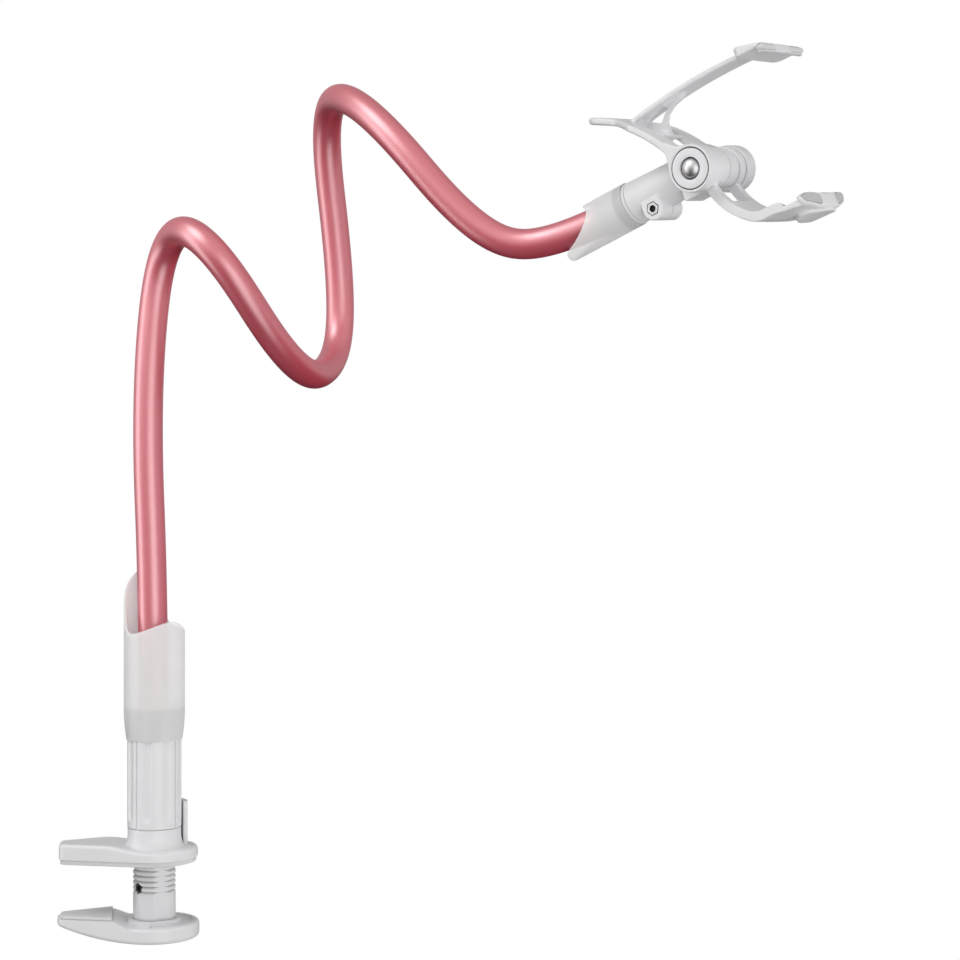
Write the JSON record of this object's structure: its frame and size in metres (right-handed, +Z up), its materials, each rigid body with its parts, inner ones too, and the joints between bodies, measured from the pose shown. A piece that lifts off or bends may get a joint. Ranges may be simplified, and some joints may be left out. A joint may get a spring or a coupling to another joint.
{
  "type": "gooseneck holder",
  "caption": "Desk-clamped holder for a handheld device: screw clamp, long bendable metal arm shaped in loops, soft sleeves, and a sprung two-claw clip on a swivelling, tilting head.",
  "frame": {"origin": "on the clamp post's axis, in the plane of the upper jaw pad's underside, where it meets the tabletop", "axes": "+X right, +Y back and +Z up, as the holder stands clamped to a desk edge; the jaws open to the left"},
  "size_m": [0.3562, 0.2029, 0.4102],
  "materials": {
    "white_plastic": "satin white moulded plastic",
    "rose_metal": "satin rose-coloured metal",
    "milky_silicone": "milky translucent soft silicone",
    "grey_rubber": "light grey soft grip",
    "steel": "bright steel"
  },
  "bodies": {
    "upper_clamp": {"upper_jaw": "white_plastic", "upper_jaw_pad": "grey_rubber"},
    "post": {"clamp_post": "white_plastic", "lower_jaw": "white_plastic", "lower_jaw_pad": "grey_rubber", "post_screw": "steel", "arm_bolt": "steel", "arm_nut": "steel", "gooseneck_arm": "rose_metal", "upper_sleeve": "milky_silicone", "end_collar": "white_plastic"},
    "handle": {"clamp_handle": "white_plastic", "lower_sleeve": "milky_silicone"},
    "connector": {"connector_shell_near": "white_plastic", "connector_shell_far": "white_plastic", "connector_bolt": "steel", "connector_nut": "steel"},
    "lower_clip": {"lower_lever": "white_plastic", "lower_pad_near": "grey_rubber", "lower_pad_far": "grey_rubber"},
    "upper_clip": {"upper_lever": "white_plastic", "upper_pad_near": "grey_rubber", "upper_pad_far": "grey_rubber", "hinge_pin": "steel", "hinge_cap_near": "white_plastic", "hinge_cap_far": "white_plastic", "torsion_spring": "steel"}
  },
  "joints": [
    {"name": "post_slide", "type": "slide", "parent": "upper_clamp", "child": "post", "axis": [0, 0, 1], "range_m": [-0.04, 0.022]},
    {"name": "handle_turn", "type": "hinge", "parent": "upper_clamp", "child": "handle", "pos_m": [0, 0, 0], "axis": [0, 0, 1], "continuous": true},
    {"name": "connector_swivel", "type": "hinge", "parent": "post", "child": "connector", "pos_m": [0.25504, -0.08668, 0.31861], "axis": [0.74, -0.5782, 0.3437], "continuous": true},
    {"name": "clip_tilt", "type": "hinge", "parent": "connector", "child": "lower_clip", "pos_m": [0.256, -0.087, 0.316], "axis": [-0.5781, -0.8079, -0.1144], "range_deg": [-45, 12]},
    {"name": "jaw_open", "type": "hinge", "parent": "lower_clip", "child": "upper_clip", "pos_m": [0.256, -0.087, 0.316], "axis": [-0.5781, -0.8079, -0.1144], "range_deg": [-50, 12], "stiffness_Nm_per_rad": 0.4, "springref_deg": -50}
  ],
  "couplings": [
    {"joint": "handle_turn", "follows": "post_slide", "rad_per_m": -2513.3}
  ]
}
